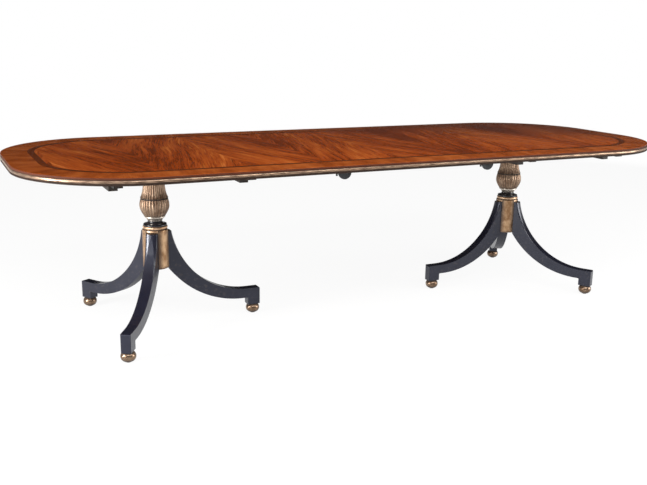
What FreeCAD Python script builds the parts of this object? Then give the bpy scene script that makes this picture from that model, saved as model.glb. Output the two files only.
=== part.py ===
import FreeCAD, Part
import math
import os

# Double pedestal dining table: two end sections on tripod pedestals and one loose centre leaf.
# Millimetres. The origin is on the floor under the middle of the top, X runs along the table, Z is up.

# Top
table_height = 762.0
top_width = 1219.2
end_length = 1181.0
leaf_length = 686.0
corner_radius = 457.0
top_thickness = 30.0
veneer_thickness = 1.2
crossband_width = 108.0
inlay_width = 28.0
veneer_setback = 2.5  # from the outline to the edge of the crossband
seam_gap = 0.4

# Edge moulding, from the underside up: a flat foot, a bead and a nose, with a quirk between them
moulding_depth = 12.0
moulding_foot = 3.5
bead_height = 15.0
quirk_height = 1.5
quirk_depth = 3.0
nose_setback = 1.0

# Alignment pins in the seams
pin_radius = 5.0
pin_hold = 30.0
pin_reach = 22.0
pin_spacing = 280.0
pin_count = 4
pin_clearance = 0.3

# Cross bearers and the pillar block between them
bearer_spacing = 513.0
bearer_width = 34.0
bearer_depth = 49.0
bearer_deep_length = 810.0
bearer_length = 990.0
bearer_tip_depth = 24.0
bearer_cove = 10.0
block_width = 240.0
bearer_screw_length = 40.0
bearer_screw_radius = 2.5
bearer_screw_head = 5.0
tip_screw_inset = 40.0
mid_screw_spacing = 400.0
block_screw_spacing = 160.0
block_screw_sink = 14.0
screw_slack = 0.1

# Turned column, from the bottom up
hub_height = 159.5
hub_radius = 55.5
hub_bottom_round = 5.0
hub_lug_depth = 9.0  # of the three lugs between the legs, which stand up beside the lower collar bead
hub_lug_round = 3.0
collar_height = 27.0
collar_radius = 53.0
collar_quirk = 3.0
scotia_height = 42.0
scotia_base_radius = 48.5
scotia_base_height = 8.0
scotia_base_bulge = 2.0
scotia_waist_radius = 30.5
scotia_waist_rise = 20.0
scotia_flare_radius = 42.0
scotia_flare_sag = 1.2
scotia_lip_radius = 43.5
scotia_lip_height = 6.0
scotia_lip_bulge = 1.0
bulb_height = 75.0
bulb_foot_radius = 43.0
bulb_radius = 61.0
bulb_top_radius = 56.0
bulb_belly = 0.62  # share of the bulb's height where it is widest
neck_height = 113.0
neck_ring_height = 4.0
neck_ring_radius = 55.0
neck_base_radius = 57.0
neck_top_radius = 42.0
neck_flare = 28.0  # height over which the flare falls to about a third
reed_count = 28
reed_height = 2.4
bulb_sections = 8
neck_sections = 7
column_bore = 6.5

# Tie rod and its two flange nuts
rod_radius = 6.0
rod_end_setback = 3.0
nut_recess_radius = 20.0
nut_recess_depth = 18.0
nut_flange_radius = 16.0
nut_flange_height = 3.0
nut_across_flats = 19.0
nut_height = 12.0
nut_slack = 0.1

# Sabre legs
leg_root_width = 49.5
leg_foot_width = 41.5
leg_top_reach = 70.0
leg_top_round = 6.0
leg_root_drop = 4.0  # from the foot of the hub down to the underside of the root
leg_toe_length = 58.0  # level part of the upper edge, at the foot
leg_arch_flat = 20.0  # level part of the underside, behind the foot block
leg_foot_depth = 43.5
leg_crown_drop = 3.5  # how far the crown across the upper side falls before its shoulders
leg_crown_skim = 0.4  # how far the top of the crown lies under the sweep, at the root
leg_crown_lift = 10.5  # how far it has risen out of the sweep at the foot, where the leg is flat
leg_shoulder_width = 7.0
leg_shoulder_slope = 65.0
foot_radius = 444.0
foot_block_length = 58.5
foot_block_height = 77.5
foot_corner_round = 6.0
foot_corner_chamfer = 2.5
foot_step_round = 5.0
dovetail_depth = 16.0
dovetail_neck = 20.0
dovetail_flare = 28.0
dovetail_stop = 15.0
dovetail_clearance = 0.15
flat_margin = 0.5

# Ball feet and glides
ball_radius = 31.0
ball_neck_radius = 19.0
ball_sole_radius = 13.0
ball_belly_height = 22.0
ball_height = 41.5
glide_radius = 11.0
glide_height = 2.5
tenon_radius = 9.0
tenon_length = 24.0
tenon_clearance = 0.15

# Seam locks: plate, crescent hook on a spindle with a half-moon thumb turn, and the keeper across the seam
lock_offset = 27.0
lock_edge_inset = 41.0
lock_plate_length = 48.0
lock_plate_width = 40.0
lock_plate_thickness = 2.5
lock_seam_inset = 2.0
lock_screw_spacing_x = 34.0
lock_screw_spacing_y = 26.0
hook_thickness = 4.0
hook_lip = 6.5
hook_boss_radius = 12.0
hook_start = 50.0
hook_arm = 12.0
hook_sweep = 78.0
hook_clearance = 0.3
stud_clearance = 0.5
thumb_radius = 28.0
thumb_thickness = 8.0
spindle_radius = 4.0
spindle_clearance = 0.05
spindle_head_radius = 7.0
spindle_head_height = 2.5
spindle_recess_radius = 9.0
spindle_recess_depth = 4.0
keeper_length = 24.0
keeper_width = 34.0
keeper_screw_inset = 7.0
keeper_screw_spacing = 22.0
stud_radius = 4.0
stud_inset = 8.0
stud_drop = 13.0
lock_screw_length = 16.0
lock_screw_radius = 1.6
lock_screw_head = 3.4

# Levels and places worked out from the sizes above
underside = table_height - top_thickness
core_top = table_height - veneer_thickness
half_width = top_width / 2
seam_x = leaf_length / 2
pedestal_x = seam_x + end_length / 2
bearer_bottom = underside - bearer_depth
tip_bottom = underside - bearer_tip_depth
neck_bottom = bearer_bottom - neck_height
bulb_top = neck_bottom - neck_ring_height
bulb_bottom = bulb_top - bulb_height
collar_top = bulb_bottom - scotia_height
hub_top = collar_top - collar_height
hub_bottom = hub_top - hub_height
collar_bead = (collar_height - collar_quirk) / 2
hub_lug_top = hub_top + collar_bead
hub_lug_inner = hub_radius - hub_lug_depth
leg_root_bottom = hub_bottom - leg_root_drop
hub_flat = math.sqrt(hub_radius ** 2 - (leg_root_width / 2 + flat_margin) ** 2)
foot_bottom = ball_height + glide_height
foot_top = foot_bottom + foot_block_height
foot_outer = foot_radius + foot_block_length / 2
toe_start = foot_outer - leg_toe_length
pin_level = (underside + core_top) / 2
lock_y = half_width - lock_edge_inset
hook_top = underside - lock_plate_thickness - hook_clearance
stud_path = lock_offset + stud_inset
bearer_screw = (bearer_screw_radius, bearer_screw_head, bearer_screw_length)
lock_screw = (lock_screw_radius, lock_screw_head, lock_screw_length)

round_share = 1 - math.sqrt(0.5)  # how far the middle of a quarter round lies inside its corner
leg_turns = (180, 300, 60)
vertical = FreeCAD.Vector(0, 0, 1)
origin = FreeCAD.Vector(0, 0, 0)
built = {}


def point(x, y, z=0.0):
    return FreeCAD.Vector(x, y, z)


def box(low, high):
    size = high.sub(low)
    return Part.makeBox(size.x, size.y, size.z, low)


def rod(radius, start, end):
    axis = end.sub(start)
    return Part.makeCylinder(radius, axis.Length, start, axis)


# Edges in the XZ plane through the stops. A stop (x, z) is reached by a line, a stop
# (middle x, middle z, x, z) by an arc through the middle.
def outline(stops):
    edges = []
    here = point(stops[0][-2], 0, stops[0][-1])
    for stop in stops[1:]:
        there = point(stop[-2], 0, stop[-1])
        if len(stop) == 4:
            edges.append(Part.Arc(here, point(stop[0], 0, stop[1]), there).toShape())
        else:
            edges.append(Part.LineSegment(here, there).toShape())
        here = there
    return edges


def profile(stops):
    return Part.Face(Part.Wire(outline(stops + [stops[0]])))


def turned(stops):
    return profile(stops).revolve(origin, vertical, 360)


def moved(shape, x=0.0, y=0.0, z=0.0, turn=0.0):
    copy = shape.copy()
    copy.rotate(origin, vertical, turn)
    copy.translate(point(x, y, z))
    return copy


# Shapes are drawn for the right-hand end and mirrored across the middle of the table for the left.
def placed(shape, side):
    if side > 0:
        return shape
    return shape.mirror(origin, point(1, 0, 0))


def cut_all(shape, tools):
    return shape.cut(Part.makeCompound(tools))


def save(name, shape):
    shape.exportStep("parts/" + name + ".step")
    built[name] = shape


# Countersunk wood screw standing on its head, point up. The slack makes the hole for it.
def screw(size, slack=0.0):
    shank, head, length = size
    cone = head - shank
    stops = [(0, 0), (head + slack, 0), (shank + slack, cone), (shank + slack, length - shank)]
    return turned(stops + [(0, length + slack)])


# Top sections

def end_path(inset, z):
    half = half_width - inset
    tip = seam_x + end_length - inset
    radius = corner_radius - inset
    bend = tip - radius
    slant = radius * math.sqrt(0.5)
    start = seam_x + seam_gap / 2
    front_arc = Part.Arc(point(bend, -half, z), point(bend + slant, radius - half - slant, z),
                         point(tip, radius - half, z))
    back_arc = Part.Arc(point(tip, half - radius, z), point(bend + slant, half - radius + slant, z),
                        point(bend, half, z))
    return [Part.LineSegment(point(start, -half, z), point(bend, -half, z)).toShape(),
            front_arc.toShape(),
            Part.LineSegment(point(tip, radius - half, z), point(tip, half - radius, z)).toShape(),
            back_arc.toShape(),
            Part.LineSegment(point(bend, half, z), point(start, half, z)).toShape()]


def end_plate(inset, low, high):
    start = seam_x + seam_gap / 2
    half = half_width - inset
    closing = Part.LineSegment(point(start, half, low), point(start, -half, low)).toShape()
    face = Part.Face(Part.Wire(end_path(inset, low) + [closing]))
    return face.extrude(point(0, 0, high - low))


def leaf_strip(inner, outer, low, high):
    reach = seam_x - seam_gap / 2
    return box(point(-reach, inner, low), point(reach, outer, high))


def both_edges(strip):
    return Part.makeCompound([strip, strip.mirror(origin, point(0, 1, 0))])


# Section of the edge moulding, drawn outwards along X from the edge of the core
def moulding_stops():
    foot_top_z = underside + moulding_foot
    bead_low = foot_top_z + quirk_height
    bead_high = bead_low + bead_height
    nose_low = bead_high + quirk_height
    inner = moulding_depth - quirk_depth
    nose = moulding_depth - nose_setback
    return [(0, underside), (nose, underside), (nose, foot_top_z), (inner, bead_low),
            (moulding_depth, (bead_low + bead_high) / 2, inner, bead_high), (inner, nose_low),
            (nose, (nose_low + core_top) / 2, moulding_depth - veneer_setback, core_top), (0, core_top)]


def end_moulding():
    section = profile(moulding_stops())
    section.rotate(origin, vertical, -90)
    section.translate(point(seam_x + seam_gap / 2, moulding_depth - half_width, 0))
    return Part.Wire(end_path(moulding_depth, underside)).makePipeShell([section.OuterWire], True, True)


def leaf_moulding():
    section = profile(moulding_stops())
    section.rotate(origin, vertical, -90)
    section.translate(point(seam_gap / 2 - seam_x, moulding_depth - half_width, 0))
    return both_edges(section.extrude(point(leaf_length - seam_gap, 0, 0)))


def pin_rows():
    first = -pin_spacing * (pin_count - 1) / 2
    return [first + pin_spacing * row for row in range(pin_count)]


# The pin of the right-hand piece of a seam reaches into the left-hand piece with its round end.
def seam_pin(seam, y):
    length = pin_hold + pin_reach
    nose = length - pin_radius
    slant = pin_radius * math.sqrt(0.5)
    pin = turned([(0, 0), (pin_radius, 0), (pin_radius, nose), (slant, nose + slant, 0, length)])
    pin.rotate(origin, point(0, 1, 0), -90)
    return moved(pin, seam + pin_hold, y, pin_level)


def seam_pins(seam):
    return Part.makeCompound([seam_pin(seam, y) for y in pin_rows()])


def pin_holes(seam):
    low = seam - pin_reach - pin_clearance
    high = seam + pin_hold + pin_clearance
    radius = pin_radius + pin_clearance
    return [rod(radius, point(low, y, pin_level), point(high, y, pin_level)) for y in pin_rows()]


# Seam locks. Each lock is on the right-hand piece of its seam and its keeper on the left-hand piece.

def lock_screw_places(seam):
    places = []
    for x in (-lock_screw_spacing_x / 2, lock_screw_spacing_x / 2):
        for y in (-lock_screw_spacing_y / 2, lock_screw_spacing_y / 2):
            for front in (-1, 1):
                places.append((seam + lock_offset + x, front * lock_y + y))
    return places


def keeper_screw_places(seam):
    x = seam - lock_seam_inset - keeper_length + keeper_screw_inset
    places = []
    for y in (-keeper_screw_spacing / 2, keeper_screw_spacing / 2):
        for front in (-1, 1):
            places.append((x, front * lock_y + y))
    return places


def hardware_screws(places, slack=0.0):
    level = underside - lock_plate_thickness
    return [moved(screw(lock_screw, slack), x, y, level) for x, y in places]


def lock_plates(seam):
    plates = []
    for front in (-1, 1):
        low = point(seam + lock_seam_inset, front * lock_y - lock_plate_width / 2,
                    underside - lock_plate_thickness)
        plate = box(low, low.add(point(lock_plate_length, lock_plate_width, lock_plate_thickness)))
        spindle = point(seam + lock_offset, front * lock_y, low.z)
        hole = rod(spindle_radius + spindle_clearance, spindle, point(spindle.x, spindle.y, underside))
        plates.append(plate.cut(hole))
    return cut_all(Part.makeCompound(plates), hardware_screws(lock_screw_places(seam), screw_slack))


def keepers(seam):
    pieces = []
    for front in (-1, 1):
        low = point(seam - lock_seam_inset - keeper_length, front * lock_y - keeper_width / 2,
                    underside - lock_plate_thickness)
        plate = box(low, low.add(point(keeper_length, keeper_width, lock_plate_thickness)))
        stud_top = point(seam - stud_inset, front * lock_y, underside)
        stud = rod(stud_radius, point(stud_top.x, stud_top.y, low.z - stud_drop), stud_top)
        pieces.append(plate.fuse(stud).removeSplitter())
    return cut_all(Part.makeCompound(pieces), hardware_screws(keeper_screw_places(seam), screw_slack))


def ring_sector(inner, outer, start, sweep, low, height):
    outer_disc = Part.makeCylinder(outer, height, point(0, 0, low), vertical, sweep)
    sector = outer_disc.cut(Part.makeCylinder(inner, height, point(0, 0, low)))
    sector.rotate(origin, vertical, start)
    return sector


# Lock lever about its own spindle, drawn open, with the hook swung towards the middle of the table width
def lever(seam, front):
    low = hook_top - hook_thickness
    lip_inner = stud_path + stud_radius + stud_clearance
    lip_outer = lip_inner + hook_lip
    shape = Part.makeCylinder(hook_boss_radius, hook_thickness, point(0, 0, low))
    shape = shape.fuse(ring_sector(spindle_radius, lip_outer, hook_start, hook_arm, low, hook_thickness))
    shape = shape.fuse(ring_sector(lip_inner, lip_outer, hook_start, hook_sweep, low, hook_thickness))
    thumb_half = thumb_thickness / 2
    disc = rod(thumb_radius, point(0, -thumb_half, hook_top), point(0, thumb_half, hook_top))
    below = box(point(-thumb_radius, -thumb_thickness, hook_top - thumb_radius),
                point(thumb_radius, thumb_thickness, hook_top))
    shape = shape.fuse(disc.common(below))
    head_low = underside + hook_clearance
    shape = shape.fuse(rod(spindle_radius, point(0, 0, low), point(0, 0, head_low)))
    shape = shape.fuse(rod(spindle_head_radius, point(0, 0, head_low),
                           point(0, 0, head_low + spindle_head_height)))
    shape = shape.removeSplitter()
    if front > 0:
        shape = shape.mirror(origin, point(0, 1, 0))
    return moved(shape, seam + lock_offset, front * lock_y)


def spindle_recesses(seam):
    tools = []
    for front in (-1, 1):
        mouth = point(seam + lock_offset, front * lock_y, underside)
        tools.append(rod(spindle_recess_radius, mouth, mouth.add(point(0, 0, spindle_recess_depth))))
    return tools


# Pedestal, drawn about its own axis with the inner leg towards -X

def bearer_screw_places():
    tip_y = bearer_length / 2 - tip_screw_inset
    places = []
    for x in (-bearer_spacing / 2, bearer_spacing / 2):
        for y in (-tip_y, -mid_screw_spacing / 2, mid_screw_spacing / 2, tip_y):
            places.append((x, y))
    return places


def upright_screws(slack=0.0):
    return [moved(screw(bearer_screw, slack), x, y, tip_bottom) for x, y in bearer_screw_places()]


def side_screws(slack=0.0):
    level = underside - bearer_depth / 2
    face = bearer_spacing / 2 + bearer_width / 2 - block_screw_sink
    screws = []
    for y in (-block_screw_spacing / 2, block_screw_spacing / 2):
        for out in (-1, 1):
            lying = screw(bearer_screw, slack)
            lying.rotate(origin, point(0, 1, 0), -90 * out)
            screws.append(moved(lying, out * face, y, level))
    return screws


def bearer(out):
    half = bearer_length / 2
    deep = bearer_deep_length / 2
    cove_mid = bearer_cove * round_share
    right = [(deep, bearer_bottom), (deep, tip_bottom - bearer_cove),
             (deep + cove_mid, tip_bottom - cove_mid, deep + bearer_cove, tip_bottom), (half, tip_bottom)]
    left = [(-half, tip_bottom), (-deep - bearer_cove, tip_bottom),
            (-deep - cove_mid, tip_bottom - cove_mid, -deep, tip_bottom - bearer_cove),
            (-deep, bearer_bottom)]
    face = profile(right + [(half, underside), (-half, underside)] + left)
    board = face.extrude(point(0, bearer_width, 0))
    board.rotate(origin, vertical, 90)
    board.translate(point(out * bearer_spacing / 2 + bearer_width / 2, 0, 0))
    wells = []
    for y in (-mid_screw_spacing / 2, mid_screw_spacing / 2):
        wells.append(rod(bearer_screw_head + screw_slack, point(out * bearer_spacing / 2, y, bearer_bottom),
                         point(out * bearer_spacing / 2, y, tip_bottom)))
    outside = out * (bearer_spacing / 2 + bearer_width / 2)
    for y in (-block_screw_spacing / 2, block_screw_spacing / 2):
        level = underside - bearer_depth / 2
        wells.append(rod(bearer_screw_head + screw_slack, point(outside, y, level),
                         point(outside - out * block_screw_sink, y, level)))
    return cut_all(board, wells + upright_screws(screw_slack) + side_screws(screw_slack))


def pillar_block():
    half = (bearer_spacing - bearer_width) / 2
    board = box(point(-half, -block_width / 2, bearer_bottom), point(half, block_width / 2, underside))
    recess = rod(nut_recess_radius, point(0, 0, underside - nut_recess_depth), point(0, 0, underside))
    return cut_all(board, [recess, column_hole()] + side_screws(screw_slack))


def column_hole():
    return rod(column_bore, point(0, 0, hub_bottom), point(0, 0, underside))


# Closed wire of outward arcs, one for each reed, between valleys on a circle
def reeded_wire(valley_radius, crest, z):
    step = 2 * math.pi / reed_count
    arcs = []
    for reed in range(reed_count):
        stops = []
        for share, radius in ((0, valley_radius), (0.5, valley_radius + crest), (1, valley_radius)):
            angle = step * (reed + share)
            stops.append(point(radius * math.cos(angle), radius * math.sin(angle), z))
        arcs.append(Part.Arc(stops[0], stops[1], stops[2]).toShape())
    return Part.Wire(arcs)


def bulb_valley(share):
    if share < bulb_belly:
        swell = math.sin(math.pi / 2 * share / bulb_belly)
        return bulb_foot_radius + (bulb_radius - bulb_foot_radius) * swell
    fall = 1 - math.cos(math.pi / 2 * (share - bulb_belly) / (1 - bulb_belly))
    return bulb_radius - (bulb_radius - bulb_top_radius) * fall


def reeded_bulb():
    wires = []
    for section in range(bulb_sections + 1):
        share = section / bulb_sections
        valley = bulb_valley(share)
        crest = reed_height * valley / bulb_radius
        wires.append(reeded_wire(valley, crest, bulb_bottom + bulb_height * share))
    return Part.makeLoft(wires, True, False).cut(column_hole())


def reeded_neck():
    wires = []
    for section in range(neck_sections + 1):
        rise = neck_height * (section / neck_sections) ** 2
        valley = neck_top_radius + (neck_base_radius - neck_top_radius) * math.exp(-rise / neck_flare)
        wires.append(reeded_wire(valley, reed_height * valley / neck_base_radius, neck_bottom + rise))
    flare = Part.makeLoft(wires, True, False)
    ring = rod(neck_ring_radius, point(0, 0, bulb_top), point(0, 0, neck_bottom))
    return flare.fuse(ring).cut(column_hole())


# A round base, a hollow up to the waist, a flare and a thin round lip
def scotia():
    lip_low = bulb_bottom - scotia_lip_height
    base_top = collar_top + scotia_base_height
    waist = collar_top + scotia_waist_rise
    hollow = (scotia_waist_radius + (scotia_base_radius - scotia_waist_radius) * round_share,
              base_top + (waist - base_top) * round_share)
    flare = ((scotia_waist_radius + scotia_flare_radius) / 2 - scotia_flare_sag, (waist + lip_low) / 2)
    stops = [(column_bore, collar_top), (scotia_base_radius, collar_top),
             (scotia_base_radius + scotia_base_bulge, collar_top + scotia_base_height / 2,
              scotia_base_radius, base_top),
             hollow + (scotia_waist_radius, waist), flare + (scotia_flare_radius, lip_low),
             (scotia_lip_radius, lip_low),
             (scotia_lip_radius + scotia_lip_bulge, lip_low + scotia_lip_height / 2,
              scotia_lip_radius, bulb_bottom), (column_bore, bulb_bottom)]
    return turned(stops)


# Outer side and top of the hub's lugs
def lug_stops():
    corner_mid = hub_lug_round * round_share
    return [(hub_radius, hub_lug_top - hub_lug_round),
            (hub_radius - corner_mid, hub_lug_top - corner_mid, hub_radius - hub_lug_round, hub_lug_top),
            (hub_lug_inner, hub_lug_top)]


# Gaps between the lugs, above the legs
def lug_gaps():
    half = leg_root_width / 2
    gap = box(point(0, -half, hub_top), point(hub_radius * 2, half, hub_lug_top))
    return [moved(gap, turn=turn) for turn in leg_turns]


def hub_lugs():
    ring = turned([(hub_lug_inner, hub_top), (hub_radius, hub_top)] + lug_stops())
    return cut_all(ring, lug_gaps())


# Two beads. The lugs of the hub pass through the lower one.
def collar():
    inner = collar_radius - collar_quirk
    shape = turned([(column_bore, hub_top), (inner, hub_top),
                    (collar_radius, hub_top + collar_bead / 2, inner, hub_lug_top),
                    (inner, hub_lug_top + collar_quirk),
                    (collar_radius, collar_top - collar_bead / 2, inner, collar_top),
                    (column_bore, collar_top)])
    return shape.cut(hub_lugs())


# Dovetail tongue of a leg along +X, from the hub's flat inwards
def dovetail(slack=0.0):
    neck = dovetail_neck / 2 + slack
    flare = dovetail_flare / 2 + slack
    inner = hub_flat - dovetail_depth - slack
    face = profile([(hub_flat, -neck), (inner, -flare), (inner, flare), (hub_flat, neck)])
    face.rotate(origin, point(1, 0, 0), 90)
    face.translate(point(0, 0, hub_bottom))
    return face.extrude(point(0, 0, hub_height - dovetail_stop + slack))


def hub():
    corner_mid = hub_bottom_round * round_share
    shape = turned([(column_bore, hub_bottom), (hub_radius - hub_bottom_round, hub_bottom),
                    (hub_radius - corner_mid, hub_bottom + corner_mid,
                     hub_radius, hub_bottom + hub_bottom_round)]
                   + lug_stops() + [(hub_lug_inner, hub_top), (column_bore, hub_top)])
    flat = box(point(hub_flat, -hub_radius, hub_bottom), point(hub_radius * 2, hub_radius, hub_top))
    recess = rod(nut_recess_radius, point(0, 0, hub_bottom), point(0, 0, hub_bottom + nut_recess_depth))
    tools = [recess] + lug_gaps()
    for turn in leg_turns:
        tools.append(moved(flat, turn=turn))
        tools.append(moved(dovetail(dovetail_clearance), turn=turn))
    return cut_all(shape, tools)


# Leg along +X: a deep root on the hub, a concave sweep and a foot block. Both sweeps end level at the foot.
def sweep_radius(run, drop):
    return (run ** 2 + drop ** 2) / (2 * drop)


def sweep_stop(start_x, start_z, end_x, level):
    drop = start_z - level
    radius = sweep_radius(end_x - start_x, drop)
    half_angle = math.acos(1 - drop / radius) / 2
    return [end_x - radius * math.sin(half_angle), level + radius * (1 - math.cos(half_angle)), end_x, level]


def leg_upper_stops():
    top_mid = leg_top_round * round_share
    corner_mid = foot_corner_round * round_share
    sweep = sweep_stop(leg_top_reach, hub_top - leg_top_round, toe_start, foot_top)
    corner = (foot_outer - corner_mid, foot_top - corner_mid, foot_outer, foot_top - foot_corner_round)
    return [(hub_flat, hub_top), (leg_top_reach - leg_top_round, hub_top),
            (leg_top_reach - top_mid, hub_top - top_mid, leg_top_reach, hub_top - leg_top_round),
            sweep, (foot_outer - foot_corner_round, foot_top), corner, (foot_outer, foot_bottom)]


def leg_lower_stops():
    inner = foot_radius - foot_block_length / 2
    arch = foot_top - leg_foot_depth
    sweep = sweep_stop(hub_flat, leg_root_bottom, inner - leg_arch_flat, arch)
    step_mid = foot_step_round * round_share
    return [(inner, foot_bottom), (inner, arch - foot_step_round),
            (inner - step_mid, arch - step_mid, inner - foot_step_round, arch), (sweep[2], arch),
            (sweep[0], sweep[1], hub_flat, leg_root_bottom)]


def tapered_plan():
    root = leg_root_width / 2
    foot = leg_foot_width / 2
    shoulder = foot_outer - foot_corner_chamfer
    face = profile([(0, -root), (shoulder, -foot), (foot_outer, foot_corner_chamfer - foot),
                    (foot_outer, foot - foot_corner_chamfer), (shoulder, foot), (0, root)])
    face.rotate(origin, point(1, 0, 0), 90)
    return face.extrude(point(0, 0, table_height))


# Spool with a round waist, about a line beside the centre of the upper sweep. It cuts a crown with round
# shoulders across the root of the leg, and comes out of the leg towards the foot.
def crown_spool():
    run = toe_start - leg_top_reach
    drop = hub_top - leg_top_round - foot_top
    radius = sweep_radius(run, drop)
    edge = leg_root_width / 2 + flat_margin
    crown_half = edge - leg_shoulder_width
    slope = math.asin(2 * crown_half * leg_crown_drop / (crown_half ** 2 + leg_crown_drop ** 2))
    end_slope = math.radians(leg_shoulder_slope)
    shoulder_radius = leg_shoulder_width / (math.sin(end_slope) - math.sin(slope))
    shoulder = []
    for angle in (slope, (slope + end_slope) / 2, end_slope):
        across = crown_half + shoulder_radius * (math.sin(angle) - math.sin(slope))
        fall = leg_crown_drop + shoulder_radius * (math.cos(slope) - math.cos(angle))
        shoulder.append((across, radius + fall))
    start, middle, end = shoulder
    face = profile([(-edge, 0), (edge, 0), end, middle + start, (0, radius, -start[0], start[1]),
                    (-middle[0], middle[1], -end[0], end[1])])
    spool = face.revolve(origin, point(1, 0, 0), 360)
    shift = (leg_crown_skim * radius + leg_crown_lift * (radius - drop)) / run
    return moved(spool, toe_start - shift, 0, foot_top + radius + leg_crown_lift, turn=90)


def leg():
    slab = profile(leg_upper_stops() + leg_lower_stops()).extrude(point(0, leg_root_width * 2, 0))
    slab.translate(point(0, -leg_root_width, 0))
    shape = slab.common(tapered_plan()).cut(crown_spool())
    socket = rod(tenon_radius + tenon_clearance, point(foot_radius, 0, foot_bottom),
                 point(foot_radius, 0, foot_bottom + tenon_length + tenon_clearance))
    return shape.fuse(dovetail()).removeSplitter().cut(socket)


def ball_foot():
    tenon_top = foot_bottom + tenon_length
    stops = [(0, glide_height), (ball_sole_radius, glide_height),
             (ball_radius, ball_belly_height, ball_neck_radius, foot_bottom),
             (tenon_radius, foot_bottom), (tenon_radius, tenon_top), (0, tenon_top)]
    return moved(turned(stops), foot_radius)


def glide():
    return rod(glide_radius, point(foot_radius, 0, 0), point(foot_radius, 0, glide_height))


def tie_rod():
    return rod(rod_radius, point(0, 0, hub_bottom + rod_end_setback),
               point(0, 0, underside - rod_end_setback))


# Flange nut standing on its flange
def flange_nut():
    across = nut_across_flats / math.sqrt(3)
    corners = []
    for corner in range(7):
        angle = math.pi / 3 * corner
        corners.append(point(across * math.cos(angle), across * math.sin(angle)))
    hexagon = Part.Face(Part.makePolygon(corners)).extrude(point(0, 0, nut_height))
    flange = Part.makeCylinder(nut_flange_radius, nut_flange_height)
    return hexagon.fuse(flange).cut(Part.makeCylinder(rod_radius + nut_slack, nut_height))


def tie_rod_nuts():
    upper = moved(flange_nut(), z=underside - nut_recess_depth)
    lower = flange_nut()
    lower.rotate(origin, point(1, 0, 0), 180)
    lower.translate(point(0, 0, hub_bottom + nut_recess_depth))
    return Part.makeCompound([upper, lower])


def ring_of_three(shape):
    return Part.makeCompound([moved(shape, turn=turn) for turn in leg_turns])


def save_pedestal(name, side):
    leg_names = ("inner", "front", "back")
    pieces = {"outer_bearer": bearer(1), "inner_bearer": bearer(-1), "pillar_block": pillar_block(),
              "bearer_screws": Part.makeCompound(upright_screws() + side_screws()),
              "reeded_neck": reeded_neck(), "reeded_bulb": reeded_bulb(), "scotia": scotia(),
              "collar": collar(), "hub": hub(), "tie_rod": tie_rod(), "tie_rod_nuts": tie_rod_nuts(),
              "ball_feet": ring_of_three(ball_foot()), "glides": ring_of_three(glide())}
    for leg_name, turn in zip(leg_names, leg_turns):
        pieces["leg_" + leg_name] = moved(leg(), turn=turn)
    for piece, shape in pieces.items():
        save(name + "_" + piece, placed(moved(shape, x=pedestal_x), side))


def end_bearer_holes(side):
    holes = Part.makeCompound(upright_screws(screw_slack))
    return placed(moved(holes, x=pedestal_x), side)


def save_end(name, side, seam_holes):
    field = crossband_width + inlay_width
    core = end_plate(moulding_depth, underside, core_top)
    crossband = end_plate(veneer_setback, core_top, table_height)
    inside_band = end_plate(crossband_width, core_top, table_height)
    field_veneer = end_plate(field, core_top, table_height)
    save(name + "_core", cut_all(placed(core, side), seam_holes + [end_bearer_holes(side)]))
    save(name + "_crossband", placed(crossband.cut(inside_band), side))
    save(name + "_inlay_band", placed(inside_band.cut(field_veneer), side))
    save(name + "_field_veneer", placed(field_veneer, side))
    save(name + "_edge_moulding", placed(end_moulding(), side))


def save_leaf():
    field = half_width - crossband_width - inlay_width
    band = half_width - crossband_width
    edge = half_width - veneer_setback
    core_half = half_width - moulding_depth
    holes = pin_holes(-seam_x) + pin_holes(seam_x) + spindle_recesses(-seam_x)
    holes += hardware_screws(lock_screw_places(-seam_x), screw_slack)
    holes += hardware_screws(keeper_screw_places(seam_x), screw_slack)
    save("leaf_core", cut_all(leaf_strip(-core_half, core_half, underside, core_top), holes))
    save("leaf_field_veneer", leaf_strip(-field, field, core_top, table_height))
    save("leaf_inlay_bands", both_edges(leaf_strip(field, band, core_top, table_height)))
    save("leaf_crossbands", both_edges(leaf_strip(band, edge, core_top, table_height)))
    save("leaf_edge_mouldings", leaf_moulding())


def save_hardware():
    save("leaf_seam_pins", seam_pins(-seam_x))
    save("right_end_seam_pins", seam_pins(seam_x))
    save("leaf_lock_plates", lock_plates(-seam_x))
    save("right_end_lock_plates", lock_plates(seam_x))
    save("left_end_keepers", keepers(-seam_x))
    save("leaf_keepers", keepers(seam_x))
    leaf_places = lock_screw_places(-seam_x) + keeper_screw_places(seam_x)
    save("left_end_keeper_screws", Part.makeCompound(hardware_screws(keeper_screw_places(-seam_x))))
    save("leaf_hardware_screws", Part.makeCompound(hardware_screws(leaf_places)))
    save("right_end_lock_screws", Part.makeCompound(hardware_screws(lock_screw_places(seam_x))))
    for seam_name, seam in (("left", -seam_x), ("right", seam_x)):
        for place, front in (("front", -1), ("back", 1)):
            save(seam_name + "_seam_" + place + "_lever", lever(seam, front))


def main():
    os.makedirs("parts", exist_ok=True)
    left_holes = pin_holes(-seam_x) + hardware_screws(keeper_screw_places(-seam_x), screw_slack)
    right_holes = pin_holes(seam_x) + hardware_screws(lock_screw_places(seam_x), screw_slack)
    save_end("left_end", -1, left_holes)
    save_end("right_end", 1, right_holes + spindle_recesses(seam_x))
    save_leaf()
    save_pedestal("left", -1)
    save_pedestal("right", 1)
    save_hardware()
    for name in sorted(built):
        shape = built[name]
        print(name, len(shape.Solids), "solids", round(shape.Volume / 1000, 1), "cm3", shape.isValid())


main()
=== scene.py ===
import math

import bmesh
import bpy
from mathutils import Matrix, Vector


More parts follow.
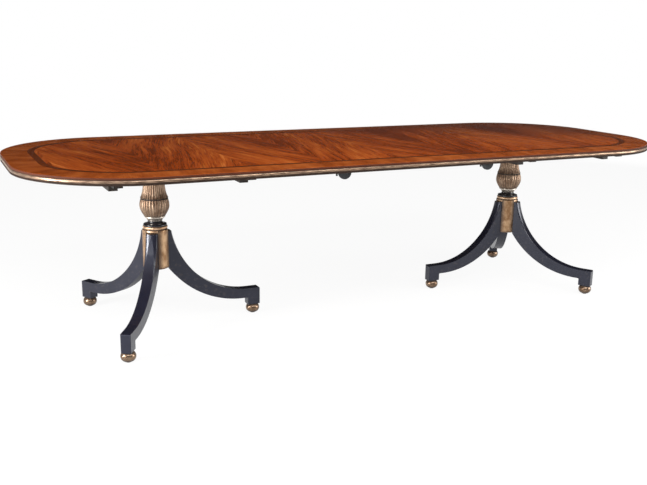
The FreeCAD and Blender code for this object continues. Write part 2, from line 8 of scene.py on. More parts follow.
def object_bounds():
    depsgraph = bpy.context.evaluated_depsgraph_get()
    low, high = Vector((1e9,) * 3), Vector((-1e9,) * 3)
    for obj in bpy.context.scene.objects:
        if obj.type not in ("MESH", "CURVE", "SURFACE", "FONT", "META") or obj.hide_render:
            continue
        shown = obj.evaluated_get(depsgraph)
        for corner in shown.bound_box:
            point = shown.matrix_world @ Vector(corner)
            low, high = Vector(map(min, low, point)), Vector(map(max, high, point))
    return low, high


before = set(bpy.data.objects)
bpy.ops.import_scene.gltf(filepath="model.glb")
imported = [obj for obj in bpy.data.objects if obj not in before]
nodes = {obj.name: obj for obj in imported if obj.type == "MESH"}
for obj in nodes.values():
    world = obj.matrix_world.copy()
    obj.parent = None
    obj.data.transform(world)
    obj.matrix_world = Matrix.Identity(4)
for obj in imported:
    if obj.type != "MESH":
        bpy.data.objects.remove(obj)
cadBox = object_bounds()
print("frame loaded:", len(nodes), "nodes")

fullTurn = 2 * math.pi
mixSockets = {"share": 0, "first": 6, "second": 7, "result": 2}  # of a Mix node that is set to colours


class Wire:  # a socket of a material, so that sums on it read as plain expressions
    def __init__(self, tree, socket=None):
        self.tree = tree
        self.socket = socket

    def node(self, kind, settings, links, out=0):
        made = self.tree.nodes.new(kind)
        for key, value in settings.items():
            if key == "stops":
                setStops(made.color_ramp.elements, value)
            else:
                setattr(made, key, value)
        for key, value in links.items():
            if isinstance(value, Wire):
                self.tree.links.new(value.socket, made.inputs[key])
            else:
                made.inputs[key].default_value = value
        return Wire(self.tree, made.outputs[out] if made.outputs else None)

    def math(self, operation, *values):
        return self.node("ShaderNodeMath", {"operation": operation}, dict(enumerate(values)))

    def __add__(self, other):
        return self.math("ADD", self, other)

    def __sub__(self, other):
        return self.math("SUBTRACT", self, other)

    def __rsub__(self, other):
        return self.math("SUBTRACT", other, self)

    def __mul__(self, other):
        return self.math("MULTIPLY", self, other)

    def __truediv__(self, other):
        return self.math("DIVIDE", self, other)

    def __abs__(self):
        return self.math("ABSOLUTE", self)

    __radd__ = __add__
    __rmul__ = __mul__

    def floor(self):
        return self.math("FLOOR", self)

    def root(self):
        return self.math("SQRT", self)

    def sine(self):
        return self.math("SINE", self)

    def sign(self):
        return self.math("SIGN", self)

    def angle(self, level):  # of an arrow that goes self up and level sideways
        return self.math("ARCTAN2", self, level)

    def atLeast(self, other):
        return self.math("MAXIMUM", self, other)

    def atMost(self, other):
        return self.math("MINIMUM", self, other)

    def offMiddle(self):  # -0.5 to 0.5 within each whole step
        return self - self.floor() - 0.5

    def rise(self, start, end):  # 0 at start, 1 at end, smooth between
        links = {"Value": self, "From Min": start, "From Max": end}
        return self.node("ShaderNodeMapRange", {"interpolation_type": "SMOOTHSTEP"}, links)

    def parts(self):
        split = self.node("ShaderNodeSeparateXYZ", {}, {0: self}).socket.node
        return [Wire(self.tree, socket) for socket in split.outputs]

    def spot(self, second, third):
        return self.node("ShaderNodeCombineXYZ", {}, {0: self, 1: second, 2: third})

    def noise(self, second, third, detail, roughness):
        links = {"Vector": self.spot(second, third), "Scale": 1.0, "Detail": detail, "Roughness": roughness}
        return self.node("ShaderNodeTexNoise", {"noise_dimensions": "3D"}, links)

    def cells(self, second, third):  # distance to the nearest scattered point
        return self.node("ShaderNodeTexVoronoi", {}, {"Vector": self.spot(second, third), "Scale": 1.0})

    def mix(self, first, second):  # self is the share of the second colour
        links = {mixSockets["share"]: self, mixSockets["first"]: first, mixSockets["second"]: second}
        return self.node("ShaderNodeMix", {"data_type": "RGBA"}, links, mixSockets["result"])

    def ramp(self, *stops):
        return self.node("ShaderNodeValToRGB", {"stops": stops}, {0: self})

    def bump(self, height, strength):
        return self.node("ShaderNodeBump", {}, {"Height": self, "Distance": height, "Strength": strength})


def setStops(elements, stops):
    while len(elements) < len(stops):
        elements.new(1.0)
    for element, (position, colour) in zip(elements, stops):
        element.position = position
        element.color = colour


# Noise in the dictionaries below: waves per metre, step or turn along each way, then detail and roughness
def streaks(across, along, seed, waves):
    perAcross, perAlong, detail, roughness = waves
    return (across * perAcross).noise(along * perAlong, seed, detail, roughness)


def cloud(x, y, z, waves):
    perX, perY, perZ, detail, roughness = waves
    return (x * perX).noise(y * perY, z * perZ, detail, roughness)


def tint(red, green, blue):  # screen colour, 0 to 255, made linear
    def straight(share):
        return share / 12.92 if share <= 0.04045 else ((share + 0.055) / 1.055) ** 2.4
    return (*(straight(value / 255) for value in (red, green, blue)), 1.0)


def makeFinish(name, fixed, paint):
    material = bpy.data.materials.new(name)
    material.use_nodes = True
    material.node_tree.nodes.clear()
    start = Wire(material.node_tree)
    place = start.node("ShaderNodeTexCoord", {}, {}, "Object")
    shader = start.node("ShaderNodeBsdfPrincipled", {}, {**fixed, **paint(*place.parts())})
    start.node("ShaderNodeOutputMaterial", {}, {"Surface": shader})
    return material


def dress(material, slot, *names):
    for name in names:
        slots = nodes[name].data.materials
        slots.clear()
        slots.append(material)


def bothSides(*names):
    return [side + "_" + name for side in ("left", "right") for name in names]


# Top: the plan is a long rectangle with round corners
plan = {"halfLength": cadBox[1].x, "halfWidth": cadBox[1].y, "corner": 0.457, "panel": 0.686,
        "cornerBlend": 0.001, "sideSeed": 5.0}


def edgeRun(x, y):  # how far in from the edge, how far along it, and a noise seed for front or back
    straightX = plan["halfLength"] - plan["corner"]
    straightY = plan["halfWidth"] - plan["corner"]
    outX = (abs(x) - straightX).atLeast(0.0)
    pastY = abs(y) - straightY
    outY = pastY.atLeast(0.0)
    inward = plan["corner"] - (outX * outX + outY * outY).root()
    end = outX.angle(outY) * plan["corner"] - pastY.atMost(0.0) * outX.rise(0.0, plan["cornerBlend"])
    run = x.atLeast(-straightX).atMost(straightX) + end * x.sign()
    return inward, run, y.sign() * plan["sideSeed"]


polish = {"Specular IOR Level": 0.02}
# Painted shade on the veneers toward the right back corner of the top
backShade = {"slant": 0.6, "start": 0.35, "end": 1.05, "share": 0.56, "colour": tint(70, 29, 9)}


def shadeTowardBack(x, y, colour):  # painted shade: the veneers are darkened toward the right back corner
    deep = (y + x * backShade["slant"]).rise(backShade["start"], backShade["end"])
    return (deep * backShade["share"]).mix(colour, backShade["colour"])


flame = {"lean": 0.24, "stem": 0.15, "stemBlur": 0.12,
         "ramp": ((0.34, tint(106, 42, 9)), (0.52, tint(158, 68, 19)), (0.70, tint(194, 96, 35))),
         "stroke": tint(224, 134, 62), "pore": tint(66, 27, 10), "strokeShare": 0.6, "poreShare": 0.35,
         "wander": 0.045, "wanderWaves": (1.9, 3.7, 1.0, 0.5),
         "warp": 0.022, "warpWaves": (3.4, 3.4, 2.0, 0.5),
         "broad": (11.0, 1.1, 2.0, 0.5), "middle": (52.0, 3.0, 3.0, 0.5), "fine": (210.0, 8.0, 3.0, 0.6),
         "strokes": (105.0, 3.6, 1.0, 0.5), "pores": (760.0, 34.0, 0.0, 0.5),
         "broadSeed": 1.3, "middleSeed": 2.1, "fineSeed": 4.3, "strokeSeed": 5.9,
         "broadShare": 0.50, "middleShare": 0.42, "fineShare": 0.58, "shift": -0.22, "stemShade": 0.10,
         "strokeCut": (0.56, 0.70), "strokePatch": (0.38, 0.58), "poreCut": (0.56, 0.68),
         "rough": 0.09, "roughRange": 0.09, "fineHeight": 0.4, "poreHeight": -0.6, "bump": (0.0002, 0.12)}


def paintFlame(x, y, z):  # feather figure: dark stems across the table, with streaks that fan out from them
    place = x / plan["panel"] + 0.5
    stem = (place + 0.5).floor()
    wander = streaks(y, stem, 0.0, flame["wanderWaves"]) - 0.5
    fromStem = abs((place - stem) * plan["panel"] + wander * flame["wander"])
    warp = streaks(x, y, stem, flame["warpWaves"]) - 0.5
    barb = fromStem - y * flame["lean"] + warp * flame["warp"]
    along = y + fromStem * flame["lean"]
    broad = streaks(barb, along, stem * flame["broadSeed"], flame["broad"])
    middle = streaks(barb, along, stem * flame["middleSeed"], flame["middle"])
    fine = streaks(barb, along, stem * flame["fineSeed"], flame["fine"])
    shade = (fromStem + (middle - 0.5) * flame["stemBlur"]).rise(flame["stem"], 0.0)
    tone = broad * flame["broadShare"] + middle * flame["middleShare"] + fine * flame["fineShare"]
    colour = (tone + flame["shift"] - shade * flame["stemShade"]).ramp(*flame["ramp"])
    strokes = streaks(barb, along, stem * flame["strokeSeed"], flame["strokes"]).rise(*flame["strokeCut"])
    strokes = strokes * broad.rise(*flame["strokePatch"]) * (1.0 - shade)
    colour = (strokes * flame["strokeShare"]).mix(colour, flame["stroke"])
    pores = streaks(barb, along, stem, flame["pores"]).rise(*flame["poreCut"])
    colour = (pores * flame["poreShare"]).mix(colour, flame["pore"])
    relief = fine * flame["fineHeight"] + pores * flame["poreHeight"]
    # the colour takes the painted shade toward the right back corner
    return {"Base Color": shadeTowardBack(x, y, colour),
            "Roughness": flame["rough"] + middle * flame["roughRange"], "Normal": relief.bump(*flame["bump"])}


band = {"ramp": ((0.36, tint(116, 50, 14)), (0.52, tint(150, 71, 24)), (0.68, tint(182, 97, 42))),
        "pore": tint(80, 35, 18), "poreShare": 0.5, "poreCut": (0.64, 0.76), "piece": 0.31, "stagger": 0.37,
        "pieceWaves": (7.31, 1.0, 0.0, 0.5), "broad": (14.0, 6.0, 2.0, 0.5), "fine": (230.0, 16.0, 3.0, 0.6),
        "pores": (700.0, 55.0, 1.0, 0.5), "broadShare": 0.45, "fineShare": 0.38, "pieceShare": 0.12,
        "shift": 0.055, "rough": 0.09, "roughRange": 0.09, "fineHeight": 0.4, "poreHeight": -0.6,
        "bump": (0.0002, 0.14)}


def paintCrossband(x, y, z):  # short pieces, each with its own shade, with the grain across the edge
    inward, run, side = edgeRun(x, y)
    cut = (run / band["piece"] + side * band["stagger"]).floor()
    shade = streaks(cut, side, 0.0, band["pieceWaves"])
    broad = streaks(run, inward, side + cut, band["broad"])
    fine = streaks(run, inward, side + cut, band["fine"])
    tone = broad * band["broadShare"] + fine * band["fineShare"] + shade * band["pieceShare"]
    colour = (tone + band["shift"]).ramp(*band["ramp"])
    pores = streaks(run, inward, side, band["pores"]).rise(*band["poreCut"])
    colour = (pores * band["poreShare"]).mix(colour, band["pore"])
    relief = fine * band["fineHeight"] + pores * band["poreHeight"]
    # the colour takes the painted shade toward the right back corner
    return {"Base Color": shadeTowardBack(x, y, colour),
            "Roughness": band["rough"] + broad * band["roughRange"], "Normal": relief.bump(*band["bump"])}


inlay = {"outer": 0.108, "width": 0.028, "line": 0.0032, "lineBlend": 0.0003, "stringing": tint(98, 44, 18),
         "ramp": ((0.38, tint(80, 34, 10)), (0.66, tint(120, 56, 20))), "grainShare": 0.6, "broadShare": 0.4,
         "grain": (420.0, 14.0, 3.0, 0.6), "broad": (30.0, 3.0, 2.0, 0.5),
         "rough": 0.10, "roughRange": 0.09, "bump": (0.0002, 0.12)}


def paintInlay(x, y, z):  # dark band between two thin lines
    inward, run, side = edgeRun(x, y)
    grain = streaks(inward, run, side, inlay["grain"])
    broad = streaks(inward, run, side, inlay["broad"])
    colour = (grain * inlay["grainShare"] + broad * inlay["broadShare"]).ramp(*inlay["ramp"])
    middle = inlay["outer"] + inlay["width"] / 2
    reach = inlay["width"] / 2 - inlay["line"]
    lines = abs(inward - middle).rise(reach - inlay["lineBlend"], reach + inlay["lineBlend"])
    return {"Base Color": lines.mix(colour, inlay["stringing"]),
            "Roughness": inlay["rough"] + grain * inlay["roughRange"], "Normal": grain.bump(*inlay["bump"])}


# Edge moulding: a wood nose over a silvery gilt bead, with painted shade on its flanks and lower half, and
# dark specks
edge = {"noseLow": 0.7528, "noseBlend": 0.0002, "nose": tint(86, 40, 20), "noseDark": tint(48, 24, 14),
        "noseGrain": (900.0, 12.0, 3.0, 0.5), "beadMiddle": 0.7445, "beadLit": 0.004125, "beadHalf": 0.0075,
        "gilt": tint(152, 127, 106), "worn": tint(86, 67, 55), "wornCut": (0.35, 0.66),
        "rub": (26.0, 260.0, 3.0, 0.6), "shadeAndDirt": tint(38, 27, 21), "foot": (0.7440, 0.7400), "footShade": 0.9,
        "specks": 380.0, "speckSize": (0.22, 0.12), "speckPatch": (0.42, 0.62), "speckWash": 0.8,
        "metal": 0.8, "rough": 0.34, "shadeAndDirtRough": 0.30, "bump": (0.0004, 0.25)}


def paintMoulding(x, y, z):
    inward, run, side = edgeRun(x, y)
    wood = streaks(z, run, side, edge["noseGrain"]).mix(edge["noseDark"], edge["nose"])
    rub = streaks(run, z, side, edge["rub"])
    specks = (run * edge["specks"]).cells(z * edge["specks"], side).rise(*edge["speckSize"])
    specks = specks * rub.rise(*edge["speckPatch"])
    bead = rub.rise(*edge["wornCut"]).mix(edge["gilt"], edge["worn"])
    # painted shade: darker on the bead's upper and lower flanks and over its lower half; the specks are dirt
    beadFlankShade = abs(z - edge["beadMiddle"]).rise(edge["beadLit"], edge["beadHalf"])
    shadeAndDirt = beadFlankShade.atLeast(specks * edge["speckWash"]).atLeast(z.rise(*edge["foot"]) * edge["footShade"])
    nose = z.rise(edge["noseLow"] - edge["noseBlend"], edge["noseLow"] + edge["noseBlend"])
    colour = nose.mix(shadeAndDirt.mix(bead, edge["shadeAndDirt"]), wood)
    return {"Base Color": colour, "Metallic": (1.0 - nose) * (1.0 - shadeAndDirt) * edge["metal"],
            "Roughness": edge["rough"] + shadeAndDirt * edge["shadeAndDirtRough"], "Normal": rub.bump(*edge["bump"])}


dress(makeFinish("flameMahogany", polish, paintFlame), "flame_mahogany",
      "leaf_field_veneer", "left_end_field_veneer", "right_end_field_veneer")
dress(makeFinish("crossbandMahogany", polish, paintCrossband), "crossband_mahogany",
      "leaf_crossbands", "left_end_crossband", "right_end_crossband")
dress(makeFinish("darkInlay", polish, paintInlay), "dark_inlay",
      "leaf_inlay_bands", "left_end_inlay_band", "right_end_inlay_band")
dress(makeFinish("giltMoulding", {"Specular IOR Level": 0.12}, paintMoulding), "gilt_moulding",
      "leaf_edge_mouldings", "left_end_edge_moulding", "right_end_edge_moulding")
print("top dressed")


# Pedestals: the left one mirrors the right one, so one set of places serves both
pedestal = {"x": 0.9335, "legs": 3, "reeds": 28}


def aboutColumn(x, y):  # radius and turn about the nearer column, in full turns
    sideways = abs(x) - pedestal["x"]
    return (sideways * sideways + y * y).root(), y.angle(sideways) / fullTurn


def fromLeg(radius, turn):  # sideways distance from the middle plane of the nearest leg
    share = (turn * pedestal["legs"]).offMiddle()
    return radius * abs((share * (fullTurn / pedestal["legs"])).sine())


lacquer = {"base": tint(15, 15, 25), "dust": tint(36, 37, 52), "rubbed": tint(58, 52, 50),
           "cloud": (14.0, 14.0, 14.0, 3.0, 0.5), "brush": (900.0, 18.0, 18.0, 2.0, 0.5),
           "rub": (60.0, 60.0, 60.0, 3.0, 0.5), "rubCut": (0.56, 0.72), "edge": (0.0175, 0.0240),
           "dustShare": 0.35, "rubShare": 0.5, "under": (-0.10, -0.45), "rough": 0.30, "cloudRough": 0.12,
           "rubRough": 0.15, "underRough": 0.3, "brushHeight": 0.5, "bump": (0.0006, 0.05)}
lacquerShine = {"Specular Tint": (0.80, 0.84, 1.0, 1.0), "Specular IOR Level": 0.38,
                "Coat Weight": 0.25, "Coat Roughness": 0.1}


def paintLacquer(x, y, z):
    radius, turn = aboutColumn(x, y)
    sideways = fromLeg(radius, turn)
    dust = cloud(x, y, z, lacquer["cloud"])
    brush = cloud(sideways, radius, z, lacquer["brush"])
    # lighter rubbed places along the leg edges: wear, and partly a painted highlight on the edges
    rubbed = sideways.rise(*lacquer["edge"]) * cloud(x, y, z, lacquer["rub"]).rise(*lacquer["rubCut"])
    colour = (dust * lacquer["dustShare"]).mix(lacquer["base"], lacquer["dust"])
    colour = (rubbed * lacquer["rubShare"]).mix(colour, lacquer["rubbed"])
    facing = x.node("ShaderNodeNewGeometry", {}, {}, "Normal").parts()[2]
    under = facing.rise(*lacquer["under"])  # the underside is left unpolished
    rough = lacquer["rough"] + dust * lacquer["cloudRough"] + rubbed * lacquer["rubRough"]
    return {"Base Color": colour, "Roughness": rough + under * lacquer["underRough"],
            "Normal": (brush * lacquer["brushHeight"] + dust).bump(*lacquer["bump"])}


gilt = {"patch": (38.0, 38.0, 26.0, 4.0, 0.6), "deepCut": (0.34, 0.66), "rub": (120.0, 120.0, 60.0, 3.0, 0.6),
        "rubCut": (0.60, 0.74), "rubShare": 0.45, "specks": 420.0, "speckSize": (0.20, 0.10),
        "speckPatch": (0.45, 0.65), "speckWash": 0.7, "metal": 0.82, "shadeAndDirtMetal": 0.7, "shadeAndDirtRough": 0.3,
        "patchRough": 0.08, "shadeAndDirtDepth": 0.5, "bump": (0.0006, 0.16)}
hubGilt = {"bright": tint(187, 154, 120), "deep": tint(136, 101, 69), "bole": tint(98, 62, 40),
           "shadeAndDirt": tint(50, 33, 22), "rough": 0.30}
reedGilt = {"bright": tint(150, 126, 105), "deep": tint(108, 84, 66), "bole": tint(92, 64, 46),
            "shadeAndDirt": tint(38, 28, 23), "rough": 0.40}
footGilt = {"bright": tint(136, 115, 96), "deep": tint(101, 79, 61), "bole": tint(80, 56, 41),
            "shadeAndDirt": tint(30, 21, 16), "rough": 0.20}
ringGilt = {"bright": tint(218, 186, 154), "deep": tint(166, 132, 102), "bole": tint(122, 82, 54),
            "shadeAndDirt": tint(48, 34, 26), "rough": 0.40}


def giltCoat(x, y, z, shadeAndDirt, tones):  # leaf with rubbed places and specks, darkened by the painted shade that each piece passes in
    patch = cloud(x, y, z, gilt["patch"])
    rubbed = cloud(x, y, z, gilt["rub"]).rise(*gilt["rubCut"])
    specks = (x * gilt["specks"]).cells(y * gilt["specks"], z * gilt["specks"]).rise(*gilt["speckSize"])
    specks = specks * patch.rise(*gilt["speckPatch"])
    colour = patch.rise(*gilt["deepCut"]).mix(tones["bright"], tones["deep"])
    colour = (rubbed * gilt["rubShare"]).mix(colour, tones["bole"])
    # dark: the painted shade joined with the dark specks of dirt
    dark = shadeAndDirt.atLeast(specks * gilt["speckWash"])
    return {"Base Color": dark.mix(colour, tones["shadeAndDirt"]),
            "Metallic": gilt["metal"] - dark * gilt["shadeAndDirtMetal"],
            "Roughness": tones["rough"] + dark * gilt["shadeAndDirtRough"] + patch * gilt["patchRough"],
            "Normal": (patch - dark * gilt["shadeAndDirtDepth"]).bump(*gilt["bump"])}


# Painted shade on the hub beside the legs and at its foot
hub = {"corner": (0.046, 0.0255), "cornerShade": 0.85, "foot": (0.2785, 0.2645), "footShade": 0.8,
       "streak": (90.0, 5.0, 3.0, 0.5), "streakCut": (0.5, 0.8), "streakWash": 0.35}


def paintHub(x, y, z):  # painted shade beside the legs and at the foot, and dark upright streaks
    radius, turn = aboutColumn(x, y)
    corner = fromLeg(radius, turn).rise(*hub["corner"]) * hub["cornerShade"]
    foot = z.rise(*hub["foot"]) * hub["footShade"]
    streak = streaks(turn, z, 0.0, hub["streak"]).rise(*hub["streakCut"]) * hub["streakWash"]
    return giltCoat(x, y, z, corner.atLeast(foot).atLeast(streak), hubGilt)


collar = {"middle": 0.4355, "groove": (0.004, 0.0010), "ends": (0.0114, 0.0136), "shadeAndDirt": 0.95}


# painted shade in the groove between the two rings and at both ends of the collar
def paintCollar(x, y, z):
    fromMiddle = abs(z - collar["middle"])
    shadeMask = fromMiddle.rise(*collar["groove"]).atLeast(fromMiddle.rise(*collar["ends"]))
    return giltCoat(x, y, z, shadeMask * collar["shadeAndDirt"], ringGilt)


feet = {"neck": (0.034, 0.042), "sole": (0.022, 0.006), "shadeAndDirt": 0.9}


# painted shade at the top of each ball under the block and at its sole
def paintFeet(x, y, z):
    shadeMask = z.rise(*feet["neck"]).atLeast(z.rise(*feet["sole"]))
    return giltCoat(x, y, z, shadeMask * feet["shadeAndDirt"], footGilt)


reeds = {"ragged": 0.22, "raggedWaves": (90.0, 90.0, 40.0, 3.0, 0.5), "groove": (0.84, 1.10),
         "ring": 0.5678, "ringHalf": (0.0042, 0.0022), "foot": (0.506, 0.492), "footShade": 0.7,
         "crown": (0.664, 0.684), "crownShade": 0.6, "shadeAndDirt": 0.95}


def paintReeds(x, y, z):  # painted shade in the valleys, on the ring between bulb and neck, and at both ends
    radius, turn = aboutColumn(x, y)
    valley = abs((turn * pedestal["reeds"]).offMiddle()) * 2.0  # 0 on the crest of a reed, 1 between two
    ragged = cloud(x, y, z, reeds["raggedWaves"]) * reeds["ragged"]
    groove = (valley + ragged).rise(*reeds["groove"])
    ring = abs(z - reeds["ring"]).rise(*reeds["ringHalf"])
    foot = z.rise(*reeds["foot"]) * reeds["footShade"]
    crown = z.rise(*reeds["crown"]) * reeds["crownShade"]
    return giltCoat(x, y, z, groove.atLeast(ring).atLeast(foot).atLeast(crown) * reeds["shadeAndDirt"], reedGilt)


scotia = {"black": tint(22, 21, 26), "silver": tint(206, 196, 184), "worn": tint(70, 62, 58),
          "fillet": (0.4700, 0.4725), "cloud": (30.0, 30.0, 30.0, 3.0, 0.5), "wornCut": (0.4, 0.7),
          "wornShare": 0.4, "metal": 0.85, "rough": 0.22, "roughRange": 0.14, "bump": (0.0004, 0.15)}


def paintScotia(x, y, z):  # black cove under a silvered fillet
    fillet = z.rise(*scotia["fillet"])
    wear = cloud(x, y, z, scotia["cloud"])
    silver = (wear.rise(*scotia["wornCut"]) * scotia["wornShare"]).mix(scotia["silver"], scotia["worn"])
    return {"Base Color": fillet.mix(scotia["black"], silver), "Metallic": fillet * scotia["metal"],
            "Roughness": scotia["rough"] + wear * scotia["roughRange"], "Normal": wear.bump(*scotia["bump"])}


dress(makeFinish("blackLacquer", lacquerShine, paintLacquer), "black_lacquer",
      *bothSides("leg_inner", "leg_front", "leg_back"))
dress(makeFinish("scotiaLacquer", {"Coat Weight": 0.2}, paintScotia), "black_lacquer", *bothSides("scotia"))
dress(makeFinish("hubGilt", {}, paintHub), "antique_gilt", *bothSides("hub"))
dress(makeFinish("collarGilt", {}, paintCollar), "antique_gilt", *bothSides("collar"))
dress(makeFinish("reedGilt", {}, paintReeds), "antique_gilt", *bothSides("reeded_bulb", "reeded_neck"))
dress(makeFinish("footGilt", {}, paintFeet), "gilt_feet", *bothSides("ball_feet"))
print("pedestals dressed")


# Underside and hardware
board = {"ramp": ((0.36, tint(80, 58, 40)), (0.62, tint(118, 90, 64))), "pore": tint(54, 38, 26),
         "plank": 0.14, "firstPlank": 20.0, "joint": (0.494, 0.499), "jointShare": 0.5,
         "poreCut": (0.66, 0.78), "poreShare": 0.4,
         "grain": (150.0, 5.0, 4.0, 0.6), "grainSeed": 3.3, "grainDepth": 40.0,
         "broad": (18.0, 1.2, 2.0, 0.5), "broadSeed": 1.9, "pores": (520.0, 24.0, 200.0, 1.0, 0.5),
         "grainShare": 0.6, "broadShare": 0.4, "rough": 0.55, "roughRange": 0.2, "bump": (0.0005, 0.3)}


def paintBoard(x, y, z):  # planks glued side by side, with the grain along the table
    place = y / board["plank"] + board["firstPlank"]
    plank = place.floor()
    grain = streaks(y, x, plank * board["grainSeed"] + z * board["grainDepth"], board["grain"])
    broad = streaks(y, x, plank * board["broadSeed"], board["broad"])
    colour = (grain * board["grainShare"] + broad * board["broadShare"]).ramp(*board["ramp"])
    joint = abs(place.offMiddle()).rise(*board["joint"])
    pores = cloud(y, x, z, board["pores"]).rise(*board["poreCut"])
    colour = (joint * board["jointShare"]).atLeast(pores * board["poreShare"]).mix(colour, board["pore"])
    return {"Base Color": colour, "Roughness": board["rough"] + grain * board["roughRange"],
            "Normal": (grain - joint).bump(*board["bump"])}


stain = {"dark": tint(26, 22, 20), "light": tint(52, 44, 38), "lightCut": (0.3, 0.75),
         "grain": (160.0, 7.0, 160.0, 4.0, 0.6), "rough": 0.48, "roughRange": 0.2, "bump": (0.0006, 0.35)}


def paintStain(x, y, z):
    grain = cloud(x, y, z, stain["grain"])
    return {"Base Color": grain.rise(*stain["lightCut"]).mix(stain["dark"], stain["light"]),
            "Roughness": stain["rough"] + grain * stain["roughRange"], "Normal": grain.bump(*stain["bump"])}


iron = {"dark": tint(30, 32, 34), "light": tint(50, 52, 54), "metal": 0.5, "rough": 0.42}
brass = {"dark": tint(168, 126, 62), "light": tint(206, 166, 92), "metal": 1.0, "rough": 0.26}
steel = {"dark": tint(150, 150, 150), "light": tint(188, 188, 186), "metal": 1.0, "rough": 0.3}
casting = {"skin": (180.0, 180.0, 180.0, 4.0, 0.6), "broad": (30.0, 30.0, 30.0, 2.0, 0.5),
           "lightCut": (0.3, 0.7), "roughRange": 0.2, "bump": (0.0005, 0.3)}


def metalPaint(tones):
    def paint(x, y, z):
        skin = cloud(x, y, z, casting["skin"])
        broad = cloud(x, y, z, casting["broad"])
        return {"Base Color": broad.rise(*casting["lightCut"]).mix(tones["dark"], tones["light"]),
                "Metallic": tones["metal"], "Roughness": tones["rough"] + skin * casting["roughRange"],
                "Normal": skin.bump(*casting["bump"])}
    return paint


felt = {"dark": tint(58, 40, 28), "light": tint(98, 70, 48), "fibre": (900.0, 900.0, 900.0, 4.0, 0.7),
        "rough": 0.95, "bump": (0.0008, 0.6)}


def paintFelt(x, y, z):
    fibre = cloud(x, y, z, felt["fibre"])
    return {"Base Color": fibre.mix(felt["dark"], felt["light"]), "Roughness": felt["rough"],
            "Normal": fibre.bump(*felt["bump"])}


dress(makeFinish("coreBoard", {"Specular IOR Level": 0.3}, paintBoard), "core_board",
      "leaf_core", "left_end_core", "right_end_core")
dress(makeFinish("darkStain", {"Specular IOR Level": 0.3}, paintStain), "dark_stained_wood",
      *bothSides("inner_bearer", "outer_bearer", "pillar_block"))
dress(makeFinish("blackIron", {}, metalPaint(iron)), "blackened_iron",
      "leaf_keepers", "left_end_keepers", "leaf_lock_plates", "right_end_lock_plates",
      *bothSides("seam_front_lever", "seam_back_lever"))
dress(makeFinish("pinBrass", {}, metalPaint(brass)), "pin_brass", "leaf_seam_pins", "right_end_seam_pins")
dress(makeFinish("zincSteel", {}, metalPaint(steel)), "steel",
      "leaf_hardware_screws", "left_end_keeper_screws", "right_end_lock_screws",
      *bothSides("bearer_screws", "tie_rod", "tie_rod_nuts"))
dress(makeFinish("soleFelt", {"Sheen Weight": 0.4}, paintFelt), "felt", *bothSides("glides"))
print("underside dressed")


# Floor, light and camera
studio = {"floorReach": 60.0, "floorSides": 64, "floor": tint(244, 244, 242), "white": (1.0, 1.0, 1.0, 1.0),
          "near": 0.92, "fade": (2.4, 6.0),  # share of pure white near the table, and where it grows to all
          "horizon": (0.052, 0.040), "wall": 0.014, "ceiling": 0.7, "ceilingSpan": (0.55, 1.0)}


def makeFloor():
    sheet = bmesh.new()
    bmesh.ops.create_circle(sheet, cap_ends=True, segments=studio["floorSides"], radius=studio["floorReach"])
    mesh = bpy.data.meshes.new("studioFloor")
    sheet.to_mesh(mesh)
    sheet.free()
    floor = bpy.data.objects.new("studioFloor", mesh)
    bpy.context.scene.collection.objects.link(floor)
    material = bpy.data.materials.new("paleFloor")
    material.use_nodes = True
    material.node_tree.nodes.clear()
    start = Wire(material.node_tree)
    x, y, z = start.node("ShaderNodeTexCoord", {}, {}, "Object").parts()
    share = (x * x + y * y).root().rise(*studio["fade"]).atLeast(studio["near"])
    rays = start.node("ShaderNodeLightPath", {}, {}).socket.node.outputs
    camera, glossy, through = [Wire(material.node_tree, rays[name]) for name in
                               ("Is Camera Ray", "Is Glossy Ray", "Is Transmission Ray")]
    matt = start.node("ShaderNodeBsdfDiffuse", {}, {"Color": studio["floor"]})
    white = start.node("ShaderNodeEmission", {}, {"Color": studio["white"], "Strength": 1.0})
    seen = share * camera.atLeast(glossy).atLeast(through)
    shader = start.node("ShaderNodeMixShader", {}, {0: seen, 1: matt, 2: white})
    start.node("ShaderNodeOutputMaterial", {}, {"Surface": shader})
    mesh.materials.append(material)


def lightWorld():  # white along the floor's far edge, dim walls, bright ceiling
    world = bpy.data.worlds.new("studioWorld")
    bpy.context.scene.world = world
    world.use_nodes = True
    world.node_tree.nodes.clear()
    start = Wire(world.node_tree)
    up = start.node("ShaderNodeTexCoord", {}, {}, "Generated").parts()[2]
    horizon = up.rise(*studio["horizon"])
    ceiling = up.rise(*studio["ceilingSpan"]) * (studio["ceiling"] - studio["wall"])
    strength = horizon.atLeast(studio["wall"] + ceiling)
    light = start.node("ShaderNodeBackground", {}, {"Color": studio["white"], "Strength": strength})
    start.node("ShaderNodeOutputWorld", {}, {"Surface": light})


# The low lamps leave the veneers out, so that none is mirrored in the top
veneers = bpy.data.collections.new("polishedTop")
for nodeName in nodes.keys():
    if nodeName.endswith(("field_veneer", "crossband", "crossbands", "inlay_band", "inlay_bands")):
        veneers.objects.link(nodes[nodeName])
for member in veneers.collection_objects:
    member.light_linking.link_state = "EXCLUDE"

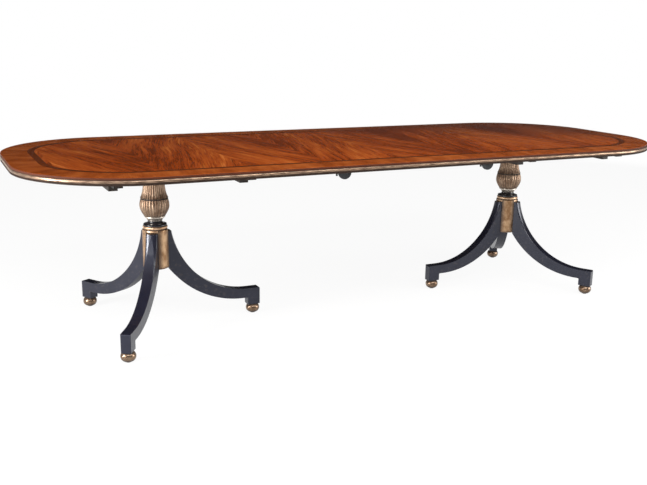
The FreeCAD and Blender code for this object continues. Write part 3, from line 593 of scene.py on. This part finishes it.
lamps = {"leftKey": {"place": (-3.25, -0.44, 0.87), "aim": (-0.93, 0.0, 0.45), "size": (0.56, 1.33),
                     "power": 105.0, "low": True},
         "leftFill": {"place": (-3.9, -1.9, 1.2), "aim": (-0.8, -0.1, 0.5), "size": (1.3, 1.8),
                      "power": 46.0, "low": True},
         "rightFill": {"place": (4.3, -2.1, 1.1), "aim": (0.2, -0.2, 0.5), "size": (1.4, 1.8),
                       "power": 90.0, "low": True},
         "frontFill": {"place": (3.7, -3.0, 1.2), "aim": (1.2, -0.6, 0.7), "size": (0.8, 1.4),
                       "power": 50.0, "low": True},
         "overhead": {"place": (-0.1, -2.3, 2.4), "aim": (0.0, -0.2, 0.7), "size": (5.4, 1.2),
                      "power": 142.0, "low": False}}


def addLamp(name, place, aim, size, power, low):
    lamp = bpy.data.lights.new(name, "AREA")
    lamp.shape = "RECTANGLE"
    lamp.size, lamp.size_y = size
    lamp.energy = power
    obj = bpy.data.objects.new(name, lamp)
    obj.location = place
    obj.rotation_euler = (Vector(aim) - Vector(place)).to_track_quat("-Z", "Y").to_euler()
    if low:
        obj.light_linking.receiver_collection = veneers
    bpy.context.scene.collection.objects.link(obj)


view = {"place": (-1.8432, -3.5353, 1.2656), "yaw": 25.87, "pitch": 13.86, "roll": 0.87,  # metres and degrees
        "focus": 854.6, "imageWidth": 647, "sensor": 36.0}  # pixels, pixels and millimetres


def addCamera():
    lens = bpy.data.cameras.new("photoCamera")
    lens.sensor_width = view["sensor"]
    lens.lens = view["focus"] / view["imageWidth"] * view["sensor"]
    camera = bpy.data.objects.new("photoCamera", lens)
    turn = Matrix.Rotation(-math.radians(view["yaw"]), 4, "Z")
    tilt = Matrix.Rotation(math.radians(90.0 - view["pitch"]), 4, "X")
    roll = Matrix.Rotation(math.radians(view["roll"]), 4, "Z")
    camera.matrix_world = Matrix.Translation(view["place"]) @ turn @ tilt @ roll
    bpy.context.scene.collection.objects.link(camera)
    bpy.context.scene.camera = camera


makeFloor()
lightWorld()
for lampName, settings in lamps.items():
    addLamp(lampName, **settings)
addCamera()
bpy.context.scene.view_settings.view_transform = "Standard"
print("studio ready")
